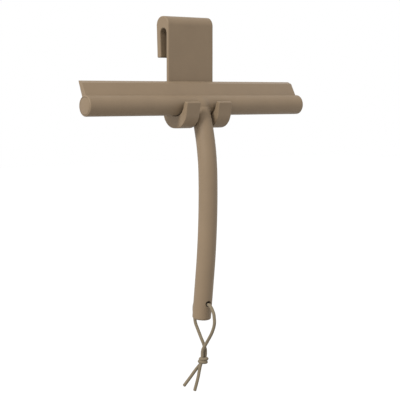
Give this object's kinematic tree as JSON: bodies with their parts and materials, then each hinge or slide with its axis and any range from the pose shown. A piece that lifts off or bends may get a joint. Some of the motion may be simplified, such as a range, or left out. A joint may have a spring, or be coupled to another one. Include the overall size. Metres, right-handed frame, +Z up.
{
  "type": "window squeegee with hanger",
  "caption": "Silicone-covered T-shaped squeegee with a leaning wiper lip, a bowed round handle, a cord loop and a hook-over hanger with a two-pronged cradle.",
  "frame": {"origin": "on the flat back of the hanger's plate, at mid width, 45 mm above the head's axis and inside the hook's slot", "axes": "+X along the squeegee's head, +Y out of the hanger's back towards the glass, +Z up"},
  "size_m": [0.24, 0.0533, 0.3381],
  "materials": {
    "silicone": "matt taupe silicone, soft to the touch",
    "silicone_lip": "matt taupe silicone, slightly smoother along the lip",
    "steel": "plain drawn stainless steel, hidden inside",
    "cord": "round braided cord, greyer than the silicone"
  },
  "bodies": {
    "hanger": {"hanger_cover": "silicone", "hanger_core": "steel"},
    "squeegee": {"head_tube": "steel", "head_sleeve": "silicone", "wiper_blade": "silicone_lip", "end_cap_left": "silicone", "end_cap_right": "silicone", "head_anchor": "steel", "handle_core": "steel", "handle_grip": "silicone"},
    "cord": {"cord_front_strand": "cord", "cord_back_strand": "cord", "cord_knot": "cord", "cord_tail_left": "cord", "cord_tail_right": "cord"}
  },
  "joints": [
    {"name": "lift_off", "type": "slide", "parent": "hanger", "child": "squeegee", "axis": [0, 0, 1], "range_m": [0, 0.045]},
    {"name": "cord_swing", "type": "hinge", "parent": "squeegee", "child": "cord", "pos_m": [0, -0.0203, -0.2229], "axis": [0, 1, 0], "range_deg": [-75, 75]}
  ]
}
